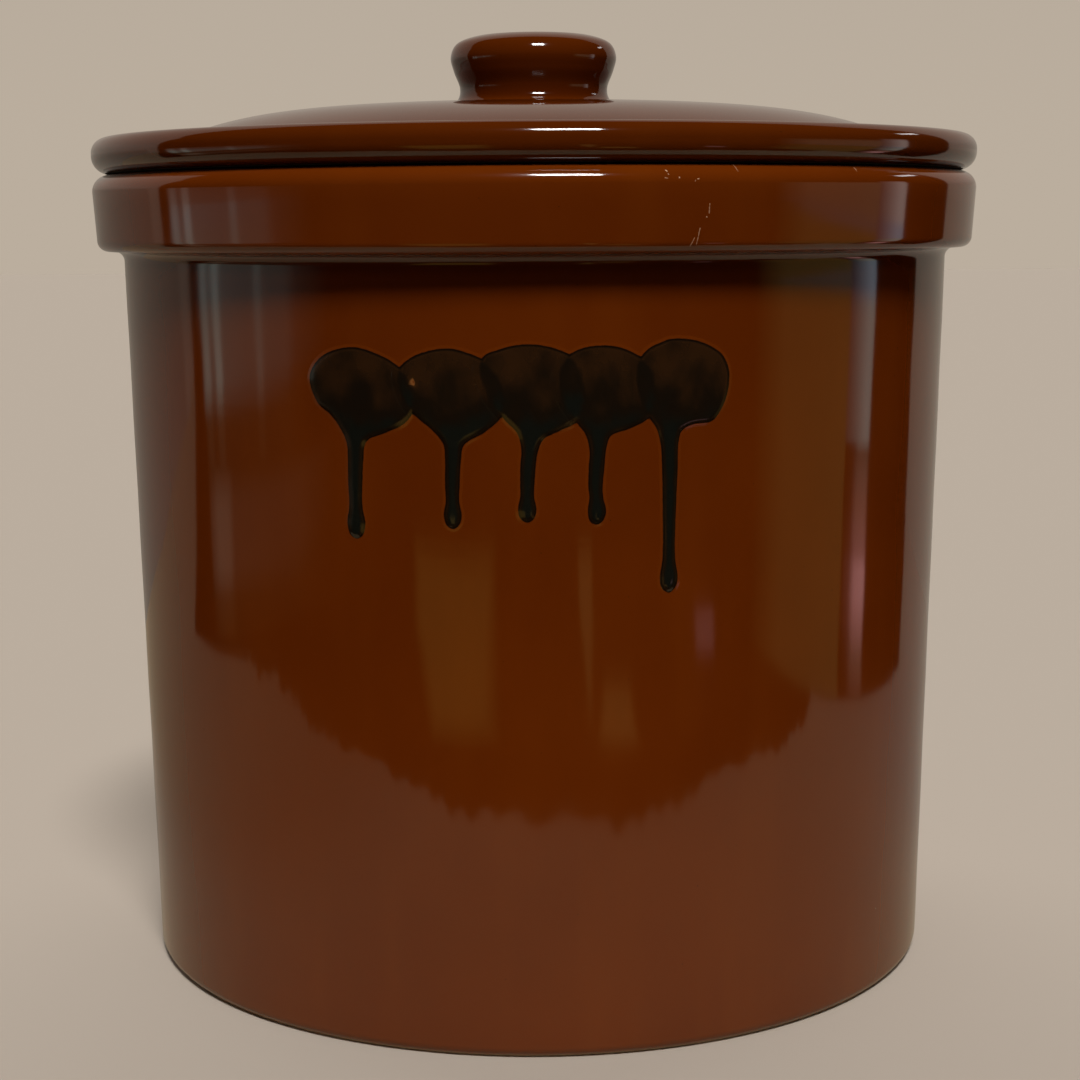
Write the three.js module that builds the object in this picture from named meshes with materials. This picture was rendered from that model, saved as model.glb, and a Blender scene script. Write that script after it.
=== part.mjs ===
// A straight-sided stoneware crock with a thick collar, a loose domed lid with a mushroom knob,
// and five runs of black glaze poured on its front.
// Millimetres, +Z up, origin at the centre of the foot, front of the crock towards -Y.
import * as THREE from 'three';

// ---- driving dimensions ----
const RIM_RADIUS = 134.5; // widest radius, at the collar and at the lid's rim
const SEAT_HEIGHT = 238.5; // flat top of the collar, where the lid rests
const BODY_FOOT_RADIUS = 120.9; // wall just above the foot
const BODY_TOP_RADIUS = 125.8; // wall just under the collar
const COLLAR_HEIGHT = 22.5;
const MOUTH_RADIUS = 117.2;
const WALL_THICKNESS = 9;
const FLOOR_THICKNESS = 10;
const RIM_THICKNESS = 10.5; // lid, at its rim
const DOME_HEIGHT = 20; // lid, from the seat to the top of the dome
const KNOB_RADIUS = 25.5;
const KNOB_HEIGHT = 22.4;
const GAP = 0.3; // between touching pieces

// ---- smaller sizes ----
const FOOT_ROUND = 3.2;
const FOOT_RING_INNER = 106;
const FOOT_RECESS = 2;
const COLLAR_SHOULDER = 5; // rounding of the collar's top edge
const COLLAR_UNDERCUT = 3.2; // rounding of the collar's bottom edge
const COVE = 3; // hollow rounding between the collar and the wall
const COLLAR_LEAN = 0.9; // the collar is this much narrower at its bottom edge
const LIP_ROUND = 3; // inner edge of the mouth
const INNER_CORNER = 14; // between the floor and the wall, inside
const LID_TOP_ROUND = 4.4; // upper rounding of the lid's rim
const LID_BOTTOM_ROUND = 5.2; // lower rounding of the lid's rim
const LEDGE_DIP = 1; // the lid's ledge sinks this much between the rim and the dome
const DOME_SHOULDER_RADIUS = 111; // where the dome meets the ledge
const DOME_POWER = 3.7; // how flat the dome's top is
const LID_WALL = 8.3; // thickness of the clay in the dome
const FLANGE_OUTER = 113.8;
const FLANGE_INNER = 106;
const FLANGE_DEPTH = 9;
const KNOB_NECK_RADIUS = 22.8;
const KNOB_FOOT_RADIUS = 26;

const TURNS = 72; // facets round the crock and the lid
const KNOB_TURNS = 48;

// ---- the black glaze ----
const GLAZE_THICKNESS = 0.9;
const GLAZE_TOP_HALF_WIDTH = 3;
const GLAZE_COLUMNS = 6;
const GLAZE_ROWS = 20;
// For each run, in millimetres: `at` is the run's place round the wall from the front, `left` and
// `right` how far the ladled patch reaches to each side, `top` its highest point, `wide` the height
// where it is widest, `neck` where it has narrowed to the run, `end` the run's lowest point.
const GLAZE_RUNS = [
  { at: -47.8, left: 13.6, right: 14.5, top: 191.8, wide: 183.5, neck: 166.5, end: 143.2 },
  { at: -21.2, left: 12.5, right: 12.5, top: 191.7, wide: 182.5, neck: 165.8, end: 146.1 },
  { at: -1.9, left: 12.5, right: 12.0, top: 193.0, wide: 183.0, neck: 166.0, end: 147.3 },
  { at: 16.4, left: 12.0, right: 12.5, top: 192.6, wide: 182.5, neck: 166.0, end: 146.9 },
  { at: 36.0, left: 11.0, right: 16.8, top: 194.1, wide: 182.5, neck: 168.5, end: 127.8 },
];
const RUN_HALF_WIDTH = 1.7;
const BEAD_RADIUS = 2.3;

// ---- outline helpers: every outline is a list of (radius, height) points ----
const point = (radius, height) => new THREE.Vector2(radius, height);

// Points on a circular arc about (radius, height), from one angle to another in degrees.
function arc(radius, height, size, from, to, steps) {
  const curve = new THREE.EllipseCurve(
    radius, height, size, size,
    THREE.MathUtils.degToRad(from), THREE.MathUtils.degToRad(to), to < from,
  );
  return curve.getPoints(steps);
}

function turned(name, outline, turns, material) {
  const geometry = new THREE.LatheGeometry(outline, turns);
  geometry.rotateX(Math.PI / 2); // the lathe turns about Y, the crock stands along Z
  return solid(name, geometry, material);
}

function solid(name, geometry, material) {
  const mesh = new THREE.Mesh(geometry, material);
  mesh.name = name;
  return mesh;
}

function glaze(color, roughness) {
  return new THREE.MeshStandardMaterial({ color, roughness, metalness: 0 });
}

// ---- the crock ----
const COLLAR_BOTTOM = SEAT_HEIGHT - COLLAR_HEIGHT;

// Outer radius of the wall at a height, between the foot and the collar.
function wallRadius(height) {
  const share = (height - FOOT_ROUND) / (COLLAR_BOTTOM - FOOT_ROUND);
  return THREE.MathUtils.lerp(BODY_FOOT_RADIUS, BODY_TOP_RADIUS, share);
}

function crockOutline() {
  const collarBottomRadius = RIM_RADIUS - COLLAR_LEAN;
  const coveRadius = wallRadius(COLLAR_BOTTOM - COVE) + COVE;
  const innerFoot = BODY_FOOT_RADIUS - WALL_THICKNESS;
  return [
    point(0, FOOT_RECESS),
    point(FOOT_RING_INNER - FOOT_RECESS, FOOT_RECESS),
    point(FOOT_RING_INNER, 0),
    ...arc(BODY_FOOT_RADIUS - FOOT_ROUND, FOOT_ROUND, FOOT_ROUND, -90, 0, 3),
    ...arc(coveRadius, COLLAR_BOTTOM - COVE, COVE, 180, 90, 3),
    ...arc(
      collarBottomRadius - COLLAR_UNDERCUT, COLLAR_BOTTOM + COLLAR_UNDERCUT,
      COLLAR_UNDERCUT, -90, 0, 3,
    ),
    ...arc(RIM_RADIUS - COLLAR_SHOULDER, SEAT_HEIGHT - COLLAR_SHOULDER, COLLAR_SHOULDER, 0, 90, 4),
    ...arc(MOUTH_RADIUS + LIP_ROUND, SEAT_HEIGHT - LIP_ROUND, LIP_ROUND, 90, 180, 3),
    ...arc(innerFoot - INNER_CORNER, FLOOR_THICKNESS + INNER_CORNER, INNER_CORNER, 0, -90, 5),
    point(0, FLOOR_THICKNESS),
  ];
}

// ---- the lid ----
const LID_BOTTOM = SEAT_HEIGHT + GAP;
const LID_RIM_TOP = LID_BOTTOM + RIM_THICKNESS;
const DOME_TOP = SEAT_HEIGHT + DOME_HEIGHT;

// Height of the dome's upper surface at a radius, down to the ledge round it.
function domeHeight(radius) {
  const share = Math.max(0, radius - KNOB_FOOT_RADIUS) / (DOME_SHOULDER_RADIUS - KNOB_FOOT_RADIUS);
  const ledge = LID_RIM_TOP - LEDGE_DIP;
  return THREE.MathUtils.lerp(DOME_TOP, ledge, share ** DOME_POWER);
}

function domePoints(radii, drop) {
  return radii.map((radius) => point(radius, domeHeight(radius) - drop));
}

function lidOutline() {
  const flangeBottom = LID_BOTTOM - FLANGE_DEPTH;
  return [
    point(0, DOME_TOP - LID_WALL),
    ...domePoints([56, 74, 86, 96], LID_WALL),
    point(FLANGE_INNER - 3, LID_BOTTOM),
    point(FLANGE_INNER, flangeBottom + 2),
    ...arc(FLANGE_INNER + 2, flangeBottom + 2, 2, -180, -90, 2).slice(1),
    ...arc(FLANGE_OUTER - 2, flangeBottom + 2, 2, -90, 0, 2),
    point(FLANGE_OUTER, LID_BOTTOM),
    ...arc(
      RIM_RADIUS - LID_BOTTOM_ROUND, LID_BOTTOM + LID_BOTTOM_ROUND, LID_BOTTOM_ROUND, -90, 0, 4,
    ),
    ...arc(RIM_RADIUS - LID_TOP_ROUND, LID_RIM_TOP - LID_TOP_ROUND, LID_TOP_ROUND, 0, 90, 4),
    ...domePoints([DOME_SHOULDER_RADIUS, 104, 96, 86, 74, 56, KNOB_FOOT_RADIUS], 0),
    point(0, DOME_TOP),
  ];
}

// ---- the knob ----
function knobOutline() {
  const foot = DOME_TOP + GAP;
  const top = foot + KNOB_HEIGHT - GAP;
  const side = new THREE.CatmullRomCurve3([
    new THREE.Vector3(KNOB_FOOT_RADIUS, foot, 0),
    new THREE.Vector3(KNOB_NECK_RADIUS + 0.4, foot + 3, 0),
    new THREE.Vector3(KNOB_NECK_RADIUS, foot + 6, 0),
    new THREE.Vector3(KNOB_RADIUS - 0.9, foot + 11, 0),
    new THREE.Vector3(KNOB_RADIUS, foot + 15.2, 0),
    new THREE.Vector3(KNOB_RADIUS - 1.6, foot + 19, 0),
    new THREE.Vector3(KNOB_RADIUS - 7, top - 0.8, 0),
  ]);
  return [
    point(0, foot),
    ...side.getPoints(13).map((place) => point(place.x, place.y)),
    point(KNOB_RADIUS - 15, top - 0.2),
    point(0, top),
  ];
}

// ---- the black glaze ----
// Half width of one side of a run at a height; `reach` is how far the patch spreads to that side.
function halfWidth(run, reach, height) {
  if (height > run.wide) {
    const share = (height - run.wide) / (run.top - run.wide);
    return Math.max(GLAZE_TOP_HALF_WIDTH, reach * Math.sqrt(1 - share * share));
  }
  const patch = THREE.MathUtils.smootherstep(height, run.neck, run.wide);
  const width = THREE.MathUtils.lerp(RUN_HALF_WIDTH, reach, patch);
  const aboveBead = height - (run.end + BEAD_RADIUS);
  if (aboveBead > BEAD_RADIUS) return width;
  const bead = Math.sqrt(Math.max(1, BEAD_RADIUS ** 2 - aboveBead ** 2));
  return aboveBead > 0 ? Math.max(RUN_HALF_WIDTH, bead) : bead;
}

// A slab, divided finely, is laid on the wall: across it from the left edge to the right one, and
// down it from the top of the patch to the end of the run. Where two patches meet, the middle
// between them parts them.
function glazeRun(index, material) {
  const run = GLAZE_RUNS[index];
  const seam = (other) => (GLAZE_RUNS[other] ? (run.at + GLAZE_RUNS[other].at) / 2 : null);
  const leftLimit = seam(index - 1) ?? -Infinity;
  const rightLimit = seam(index + 1) ?? Infinity;
  const geometry = new THREE.BoxGeometry(2, 1, 1, GLAZE_COLUMNS, GLAZE_ROWS, 1);
  const places = geometry.attributes.position;
  for (let i = 0; i < places.count; i += 1) {
    const across = (places.getX(i) + 1) / 2;
    const height = THREE.MathUtils.lerp(run.end, run.top, places.getY(i) + 0.5);
    const left = Math.max(run.at - halfWidth(run, run.left, height), leftLimit + GAP / 2);
    const right = Math.min(run.at + halfWidth(run, run.right, height), rightLimit - GAP / 2);
    const angle = THREE.MathUtils.lerp(left, right, across) / BODY_TOP_RADIUS;
    const lift = GAP + (places.getZ(i) + 0.5) * GLAZE_THICKNESS;
    const radius = wallRadius(height) + lift;
    places.setXYZ(i, radius * Math.sin(angle), -radius * Math.cos(angle), height);
  }
  return solid(`glaze_run_${index + 1}`, geometry, material);
}

// ---- the whole crock ----
const brownGlaze = glaze(0x6b2a08, 0.12);
const blackGlaze = glaze(0x15110c, 0.15);

const crock = new THREE.Group();
crock.add(turned('crock_body', crockOutline(), TURNS, brownGlaze));
GLAZE_RUNS.forEach((run, index) => crock.add(glazeRun(index, blackGlaze)));

const lid = new THREE.Group();
lid.add(turned('lid', lidOutline(), TURNS, brownGlaze));
lid.add(turned('lid_knob', knobOutline(), KNOB_TURNS, brownGlaze));

const model = new THREE.Group();
model.add(crock, lid);
export default model;
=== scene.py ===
"""A brown glazed stoneware crock with a domed lid and five poured runs of black glaze.

Metres, +Z up, the foot on z = 0 and the glaze runs towards -Y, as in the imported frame. Sizes named
here are in millimetres, and MM turns them into metres where a mesh or a texture is made.
"""

import math

import bpy
import numpy as np
from mathutils import Matrix, Vector


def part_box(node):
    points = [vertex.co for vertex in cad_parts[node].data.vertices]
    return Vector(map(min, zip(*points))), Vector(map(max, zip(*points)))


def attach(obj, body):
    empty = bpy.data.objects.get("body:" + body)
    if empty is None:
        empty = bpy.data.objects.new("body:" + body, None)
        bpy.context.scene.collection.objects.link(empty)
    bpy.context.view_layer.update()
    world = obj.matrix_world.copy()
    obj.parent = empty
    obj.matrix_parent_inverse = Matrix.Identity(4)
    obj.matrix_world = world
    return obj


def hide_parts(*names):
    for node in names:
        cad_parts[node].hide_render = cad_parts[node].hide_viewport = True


MM = 0.001

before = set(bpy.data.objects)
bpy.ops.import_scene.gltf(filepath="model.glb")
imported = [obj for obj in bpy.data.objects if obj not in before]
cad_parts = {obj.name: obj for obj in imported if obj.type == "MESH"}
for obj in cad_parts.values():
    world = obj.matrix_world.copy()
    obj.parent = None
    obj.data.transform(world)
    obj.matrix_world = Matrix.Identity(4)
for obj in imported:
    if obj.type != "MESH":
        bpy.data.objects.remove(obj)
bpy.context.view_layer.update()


# ---------------------------------------------------------------- sizes, from the frame

def frame_size(node):
    """Radius, lowest and highest point of a CAD node, in millimetres."""
    low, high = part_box(node)
    return high.x / MM, low.z / MM, high.z / MM


RIM_RADIUS, _, SEAT_HEIGHT = frame_size("crock_body")
_, FLANGE_BOTTOM, DOME_TOP = frame_size("lid")
KNOB_FOOT_RADIUS, KNOB_FOOT, KNOB_TOP = frame_size("lid_knob")

# ---------------------------------------------------------------- smaller sizes, as in the CAD part

BODY_FOOT_RADIUS = 120.9
BODY_TOP_RADIUS = 125.8
COLLAR_HEIGHT = 22.5
MOUTH_RADIUS = 117.2
WALL_THICKNESS = 9
FLOOR_THICKNESS = 10
GAP = 0.3
FOOT_ROUND = 3.2
FOOT_RING_INNER = 106
FOOT_RECESS = 2
COLLAR_SHOULDER = 5
COLLAR_UNDERCUT = 3.2
COVE = 3
COLLAR_LEAN = 0.9
LIP_ROUND = 3
INNER_CORNER = 14
RIM_THICKNESS = 10.5
LID_TOP_ROUND = 4.4
LID_BOTTOM_ROUND = 5.2
LEDGE_DIP = 1
DOME_SHOULDER_RADIUS = 111
DOME_POWER = 3.7
LID_WALL = 8.3
FLANGE_OUTER = 113.8
FLANGE_INNER = 106
FLANGE_ROUND = 2
KNOB_RADIUS = 25.5
KNOB_NECK_RADIUS = 22.8

COLLAR_BOTTOM = SEAT_HEIGHT - COLLAR_HEIGHT
LID_BOTTOM = SEAT_HEIGHT + GAP
LID_RIM_TOP = LID_BOTTOM + RIM_THICKNESS

TURNS = 240            # faces round the crock and the lid
KNOB_TURNS = 128
ARC_STEP = 0.5         # spacing of points on the small roundings
SPAN_STEP = 4.5        # spacing of points on long stretches
LID_STEP = 2.5         # the same on the lid
KNOB_STEP = 2          # and on the knob
SAME_POINT = 0.02      # two points of an outline this close are one


# ---------------------------------------------------------------- outlines, as (radius, height)

def arc(radius, height, size, start, end):
    """Points on an arc about (radius, height), from one angle to another in degrees."""
    length = math.radians(abs(end - start)) * size
    angles = np.radians(np.linspace(start, end, max(4, round(length / ARC_STEP)) + 1))
    return np.column_stack((radius + size * np.cos(angles), height + size * np.sin(angles)))


def span(start, end, step=SPAN_STEP):
    """Points along a straight stretch, both ends included."""
    start, end = np.array(start, float), np.array(end, float)
    count = max(1, round(np.linalg.norm(end - start) / step))
    return start + (end - start) * np.linspace(0, 1, count + 1)[:, None]


def smooth(points, step, closed=False):
    """A smooth curve through a few points (centripetal Catmull-Rom), with points about a step apart."""
    points = np.array(points, float)
    if closed:
        ends = np.vstack((points[-1], points, points[:2]))
    else:
        ends = np.vstack((2 * points[0] - points[1], points, 2 * points[-1] - points[-2]))
    made = []
    for a, b, c, d in zip(ends, ends[1:], ends[2:], ends[3:]):
        first, second, third = [np.linalg.norm(q - p) ** 0.5 for p, q in ((a, b), (b, c), (c, d))]
        middle = (c - b) / second
        leave = second * ((b - a) / first - (c - a) / (first + second) + middle)
        reach = second * (middle - (d - b) / (second + third) + (d - c) / third)
        t = np.linspace(0, 1, max(2, round(np.linalg.norm(c - b) / step)), endpoint=False)[:, None]
        bend = leave * (t * (1 - t) ** 2) - reach * (t * t * (1 - t))
        made.append(b + (c - b) * (t * t * (3 - 2 * t)) + bend)
    return np.vstack(made if closed else (*made, points[-1:]))


def joined(*stretches):
    """One outline from several stretches, without the points that two of them share."""
    points = np.vstack(stretches)
    apart = np.linalg.norm(np.diff(points, axis=0), axis=1) > SAME_POINT
    return points[np.append(True, apart)]


def filled(points, step=SPAN_STEP):
    """The same outline with points added wherever two are more than a step apart."""
    return joined(*[span(a, b, step) for a, b in zip(points, points[1:])])


def wall_radius(height):
    """Outer radius of the crock's wall at a height, between the foot and the collar."""
    share = (height - FOOT_ROUND) / (COLLAR_BOTTOM - FOOT_ROUND)
    return BODY_FOOT_RADIUS + (BODY_TOP_RADIUS - BODY_FOOT_RADIUS) * share


def crock_outline():
    """From the middle of the foot, up the outside, over the lip and down to the middle of the floor."""
    collar_bottom_radius = RIM_RADIUS - COLLAR_LEAN
    cove_radius = wall_radius(COLLAR_BOTTOM - COVE) + COVE
    inner_foot = BODY_FOOT_RADIUS - WALL_THICKNESS
    return filled(joined(
        [(0, FOOT_RECESS), (FOOT_RING_INNER - FOOT_RECESS, FOOT_RECESS), (FOOT_RING_INNER, 0)],
        arc(BODY_FOOT_RADIUS - FOOT_ROUND, FOOT_ROUND, FOOT_ROUND, -90, 0),
        arc(cove_radius, COLLAR_BOTTOM - COVE, COVE, 180, 90),
        arc(collar_bottom_radius - COLLAR_UNDERCUT, COLLAR_BOTTOM + COLLAR_UNDERCUT,
            COLLAR_UNDERCUT, -90, 0),
        arc(RIM_RADIUS - COLLAR_SHOULDER, SEAT_HEIGHT - COLLAR_SHOULDER, COLLAR_SHOULDER, 0, 90),
        arc(MOUTH_RADIUS + LIP_ROUND, SEAT_HEIGHT - LIP_ROUND, LIP_ROUND, 90, 180),
        arc(inner_foot - INNER_CORNER, FLOOR_THICKNESS + INNER_CORNER, INNER_CORNER, 0, -90),
        [(0, FLOOR_THICKNESS)],
    ))


def dome_height(radius):
    """Height of the dome's upper surface at a radius, down to the ledge round it."""
    flat = np.maximum(0, radius - KNOB_FOOT_RADIUS)
    share = flat / (DOME_SHOULDER_RADIUS - KNOB_FOOT_RADIUS)
    ledge = LID_RIM_TOP - LEDGE_DIP
    return DOME_TOP + (ledge - DOME_TOP) * share ** DOME_POWER


def dome(start, end, drop):
    """Points along the dome between two radii, a distance below its upper surface."""
    radii = np.linspace(start, end, round(abs(end - start) / 2) + 1)
    return np.column_stack((radii, dome_height(radii) - drop))


def lid_outline():
    """From the middle of the hollow side, down round the ring and the rim, to the top of the dome."""
    return filled(joined(
        [(0, DOME_TOP - LID_WALL)],
        dome(KNOB_FOOT_RADIUS, 96, LID_WALL),
        [(FLANGE_INNER - 3, LID_BOTTOM)],
        arc(FLANGE_INNER + FLANGE_ROUND, FLANGE_BOTTOM + FLANGE_ROUND, FLANGE_ROUND, 180, 270),
        arc(FLANGE_OUTER - FLANGE_ROUND, FLANGE_BOTTOM + FLANGE_ROUND, FLANGE_ROUND, -90, 0),
        [(FLANGE_OUTER, LID_BOTTOM)],
        arc(RIM_RADIUS - LID_BOTTOM_ROUND, LID_BOTTOM + LID_BOTTOM_ROUND, LID_BOTTOM_ROUND, -90, 0),
        arc(RIM_RADIUS - LID_TOP_ROUND, LID_RIM_TOP - LID_TOP_ROUND, LID_TOP_ROUND, 0, 90),
        dome(DOME_SHOULDER_RADIUS, KNOB_FOOT_RADIUS, 0),
        [(0, DOME_TOP)],
    ), LID_STEP)


def knob_outline():
    """From the crease round the knob's foot, in at the neck and out over the cap, to its top."""
    side = smooth([
        (KNOB_FOOT_RADIUS, KNOB_FOOT),
        (KNOB_NECK_RADIUS + 0.4, KNOB_FOOT + 3),
        (KNOB_NECK_RADIUS, KNOB_FOOT + 6),
        (KNOB_RADIUS - 0.9, KNOB_FOOT + 11),
        (KNOB_RADIUS, KNOB_FOOT + 15.2),
        (KNOB_RADIUS - 1.6, KNOB_FOOT + 19),
        (KNOB_RADIUS - 7, KNOB_TOP - 0.8),
        (KNOB_RADIUS - 15, KNOB_TOP - 0.2),
        (0, KNOB_TOP),
    ], ARC_STEP)
    return filled(joined([(0, KNOB_FOOT)], side), KNOB_STEP)


# ---------------------------------------------------------------- meshes

TRUE_RADIUS = 20             # nearer the axis than this, nothing is out of true
BEND_REACH = 1.6             # distance along an outline over which its curvature is softened
BEND_GAIN = 3


def wobble(angle, height):
    """How far the clay stands out of true, in millimetres, round the crock and up it."""
    oval = 0.10 * np.cos(2 * angle + 0.7) + 0.05 * np.cos(3 * angle - 1.9)
    rings = 0.030 * np.sin(height / 6.1 + 0.8 * np.sin(angle + 1.2))
    dents = 0.035 * np.sin(5 * angle + height / 31) + 0.025 * np.sin(9 * angle - height / 23 + 2)
    return oval + rings + dents


def bend_of(outline):
    """Curvature along an outline, -1 in a tight hollow and 1 on a tight edge, softened."""
    step = np.diff(outline, axis=0)
    length = np.linalg.norm(step, axis=1)
    heading = np.unwrap(np.arctan2(step[:, 1], step[:, 0]))
    turn = np.append(0, np.diff(heading)) / length
    along = np.append(0, np.cumsum(length))
    weights = np.exp(-((along[:, None] - along[None, :-1]) / BEND_REACH) ** 2) * length
    return np.clip((weights @ turn) / weights.sum(1) * BEND_GAIN, -1, 1)


def new_object(name, points, faces, attributes):
    """A smooth-shaded mesh object from points in metres, with a number per point for each attribute."""
    mesh = bpy.data.meshes.new(name)
    mesh.from_pydata([tuple(p) for p in points], [], faces)
    mesh.polygons.foreach_set("use_smooth", [True] * len(mesh.polygons))
    for attribute, values in attributes.items():
        layer = mesh.attributes.new(attribute, "FLOAT", "POINT")
        layer.data.foreach_set("value", np.asarray(values, np.float32))
    mesh.validate()
    mesh.update()
    made = bpy.data.objects.new(name, mesh)
    bpy.context.scene.collection.objects.link(made)
    return made


def lathe_faces(rings, turns):
    """Faces of a turned mesh: its rings come first, then the two points where it meets the axis."""
    first, last = rings * turns, rings * turns + 1
    top = (rings - 1) * turns
    across = [(i, (i + 1) % turns) for i in range(turns)]
    faces = [(first, b, a) for a, b in across]
    for low in range(0, top, turns):
        high = low + turns
        faces += [(low + a, low + b, high + b, high + a) for a, b in across]
    return faces + [(last, top + a, top + b) for a, b in across]


def lathe(name, outline, turns, bare):
    """Turns an outline that starts and ends on the axis. `bare` gives unglazed clay, 0 to 1, at
    each point of the outline."""
    rings = outline[1:-1]
    angles = np.linspace(0, 2 * math.pi, turns, endpoint=False)
    angle, height = np.meshgrid(angles, rings[:, 1])
    radius = rings[:, 0][:, None] + wobble(angle, height) * (rings[:, 0] > TRUE_RADIUS)[:, None]
    points = np.stack((radius * np.sin(angle), -radius * np.cos(angle), height), 2).reshape(-1, 3)
    points = np.vstack((points, (0, 0, outline[0, 1]), (0, 0, outline[-1, 1]))) * MM

    def spread(values):
        return np.append(np.repeat(values[1:-1], turns), values[[0, -1]])

    attributes = {"bend": spread(bend_of(outline)), "bare": spread(bare)}
    return new_object(name, points, lathe_faces(len(rings), turns), attributes)


# ---------------------------------------------------------------- the black glaze

# `line` is where the run flows down, in millimetres round the wall from the front. `edge` is the
# run's outline as (distance from that line, height), from its top down its left side and up again.
GLAZE_RUNS = [
    {
        "line": -49.1,
        "edge": [(0.5, 192.2), (-6.3, 191), (-10.4, 188.6), (-13.1, 184), (-10.8, 177.4), (-6.9, 174.4),
                 (-4.2, 171.1), (-2.3, 167.2), (-2.1, 162), (-2.2, 157), (-2.1, 150.5), (-2.8, 146),
                 (-2, 142.8), (-0.1, 141.8), (1.7, 142.8), (2.5, 146), (1.8, 150.5), (2, 157),
                 (2.4, 162), (3.1, 167), (4.4, 168.4), (8.5, 169.9), (14.9, 173.1), (17.8, 178.5),
                 (16.4, 184), (11.3, 188.6), (5.6, 191.1)],
    },
    {
        "line": -22.1,
        "edge": [(0, 192.1), (-5.1, 191.6), (-11, 189.4), (-14.2, 186), (-13.6, 180.5), (-10, 175.1),
                 (-5, 170.9), (-2.2, 167.4), (-1.8, 163), (-1.9, 157), (-1.8, 152.5), (-2.4, 148.8),
                 (-1.7, 146.3), (0, 145.3), (1.7, 146.3), (2.4, 148.8), (1.8, 152.5), (2, 157),
                 (2.4, 163), (3.3, 167.2), (8.9, 170.7), (12.9, 174.3), (14.6, 179), (12.8, 185),
                 (8.5, 189.3), (4.9, 190.9)],
    },
    {
        "line": -2.1,
        "edge": [(0, 193.2), (-3.9, 192.8), (-7.5, 191.8), (-11.2, 190.2), (-12.6, 186.5), (-10.5, 180),
                 (-6.4, 174.3), (-2.7, 170.2), (-1.7, 166), (-2, 162), (-2.1, 157), (-2.1, 154),
                 (-2.7, 150.3), (-2, 148), (-0.3, 147.1), (1.4, 148), (2.1, 150.3), (1.5, 154),
                 (1.6, 157), (2, 162), (2.7, 166), (4.2, 168.9), (8.4, 171), (13, 173.5),
                 (15.2, 179.5), (14.2, 186), (11, 190.3), (4.8, 192.7)],
    },
    {
        "line": 15.8,
        "edge": [(0, 192.7), (-4.3, 191.9), (-7.3, 190.3), (-9.6, 187), (-9.4, 180), (-5.3, 173.1),
                 (-3, 170), (-1.9, 166), (-2.1, 161), (-2.2, 156.5), (-1.9, 153.5), (-2.3, 149.8),
                 (-1.7, 147.2), (-0.1, 146.4), (1.6, 147.2), (2.5, 149.8), (1.7, 153.5), (1.6, 156.5),
                 (2, 161), (2.5, 166), (3.7, 169.4), (8.7, 171.2), (13.9, 174), (16, 180), (15, 186),
                 (11.5, 189.6), (5.9, 192.2)],
    },
    {
        "line": 35.6,
        "edge": [(0, 194.1), (-3.3, 193.1), (-6.1, 191.8), (-8.4, 189.2), (-9.6, 184), (-8.2, 178),
                 (-5.9, 174), (-3.8, 170.9), (-2.6, 166.5), (-2.2, 160), (-1.9, 150), (-1.8, 137),
                 (-2.5, 131.4), (-1.8, 128.7), (0, 127.6), (1.7, 128.7), (2.5, 131.4), (1.7, 137),
                 (1.8, 150), (2.1, 160), (2.3, 167.5), (3.2, 170.2), (6.3, 171.8), (11.4, 172.3),
                 (13.6, 174.2), (16, 179.1), (16.6, 185), (14.6, 189.5), (11.2, 191.9), (6.6, 193.6)],
    },
]
PINHOLE = (-32.5, 183.3)     # a spot between the first two patches that no glaze reached
PINHOLE_SIZE = (0.8, 1.2)
PINHOLE_DEPTH = 0.3
GLAZE_SKIRT = 1.5            # how far the brown glaze is drawn up round the black
SKIRT_LIFT = 0.05            # how far the edge of the black stands off the wall
PATCH_LIFT = (0.22, 0.13)    # how far the patches stand off it, at their feet and at their tops
PATCH_HEIGHTS = (173, 190)
RUN_LIFT = 0.36              # and the runs and their beads
RUN_HEIGHTS = (165, 178)     # below the first a pour is all run, and above the second all patch
UNEVEN_LIFT = 0.02           # how far a patch's surface rises and falls
PATCH_EDGE = 1.2             # width of a patch's rounded edge
RUN_EDGE = 2.4               # and of a run's, which is round all the way across
GLAZE_LAP = 0.07             # one patch over its neighbour
GLAZE_BACK = 0.5             # how deep the back of a run lies under the wall's surface
GLAZE_COLUMNS = 28
GLAZE_ROW_STEP = 0.6
OUTLINE_STEP = 0.3           # spacing of points on a run's outline
OUTLINE_SAMPLES = 1200       # heights at which its two sides are measured


def smoothstep(low, high, value):
    """0 up to `low`, rising smoothly to 1 from `high` on."""
    share = np.clip((value - low) / (high - low), 0, 1)
    return share * share * (3 - 2 * share)


def run_outline(run):
    """The whole edge of a run as (place round the wall, height), from its top down its left side."""
    outline = smooth(run["edge"], OUTLINE_STEP, closed=True)
    outline = np.roll(outline, -int(np.argmax(outline[:, 1])), axis=0)
    return outline + (run["line"], 0)


def inside_distance(points, outline):
    """Distance of each point from a closed outline, positive inside it."""
    start, along = outline, np.roll(outline, -1, axis=0) - outline
    offset = points[:, None] - start[None]
    share = np.clip((offset * along).sum(2) / (along * along).sum(1), 0, 1)
    distance = np.linalg.norm(offset - share[..., None] * along, axis=2).min(1)
    x, y = points[:, :1], points[:, 1:]
    end = start + along
    crossed = (start[:, 1] > y) != (end[:, 1] > y)
    rise = np.where(along[:, 1] == 0, 1, along[:, 1])
    reached = start[:, 0] + (y - start[:, 1]) / rise * along[:, 0]
    inside = ((crossed & (x < reached)).sum(1) % 2) == 1
    return np.where(inside, distance, -distance)


def rounded(share):
    """A round edge: 0 at the edge, rising to a level 1."""
    return 1 - (1 - np.clip(share, 0, 1)) ** 2


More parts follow.
